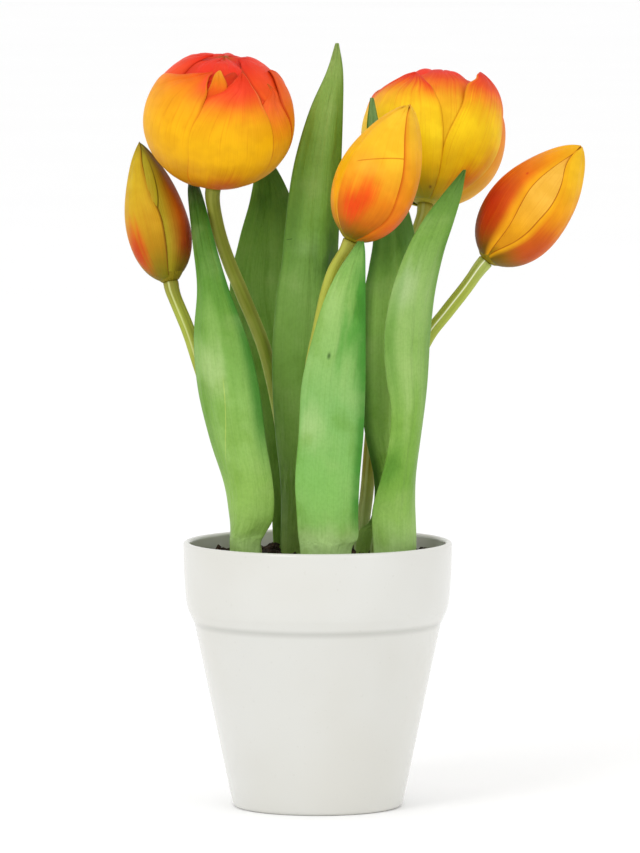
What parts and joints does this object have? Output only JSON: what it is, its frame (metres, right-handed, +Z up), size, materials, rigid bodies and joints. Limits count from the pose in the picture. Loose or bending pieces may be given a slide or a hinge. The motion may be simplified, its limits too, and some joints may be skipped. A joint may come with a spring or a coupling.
{
  "type": "potted tulip",
  "caption": "Tulip plants with full double blooms, closed buds and upright blade leaves, growing from bulbs in soil in a collared ceramic flower pot.",
  "frame": {"origin": "middle of the pot's flat base, on the surface it stands on", "axes": "+Z up along the pot's axis, +X to the right of the plant seen from its front, -Y to the front"},
  "size_m": [0.1795, 0.1078, 0.2995],
  "materials": {
    "glaze": "gloss",
    "soil": "crumbly",
    "bulb": "papery",
    "stem": "satin",
    "leaf": "waxy satin",
    "petal": "satin"
  },
  "bodies": {
    "root": {"pot": "glaze", "soil": "soil", "bulb_a": "bulb", "stem_a": "stem", "bloom_a": "petal", "bulb_b": "bulb", "stem_b": "stem", "bloom_b": "petal", "bulb_c": "bulb", "stem_c": "stem", "bud_c": "petal", "bulb_d": "bulb", "stem_d": "stem", "bud_d": "petal", "bulb_e": "bulb", "stem_e": "stem", "bud_e": "petal", "leaf_front_left": "leaf", "leaf_centre_tall": "leaf", "leaf_back_left": "leaf", "leaf_front_centre": "leaf", "leaf_back_right": "leaf", "leaf_front_right": "leaf"}
  },
  "joints": []
}
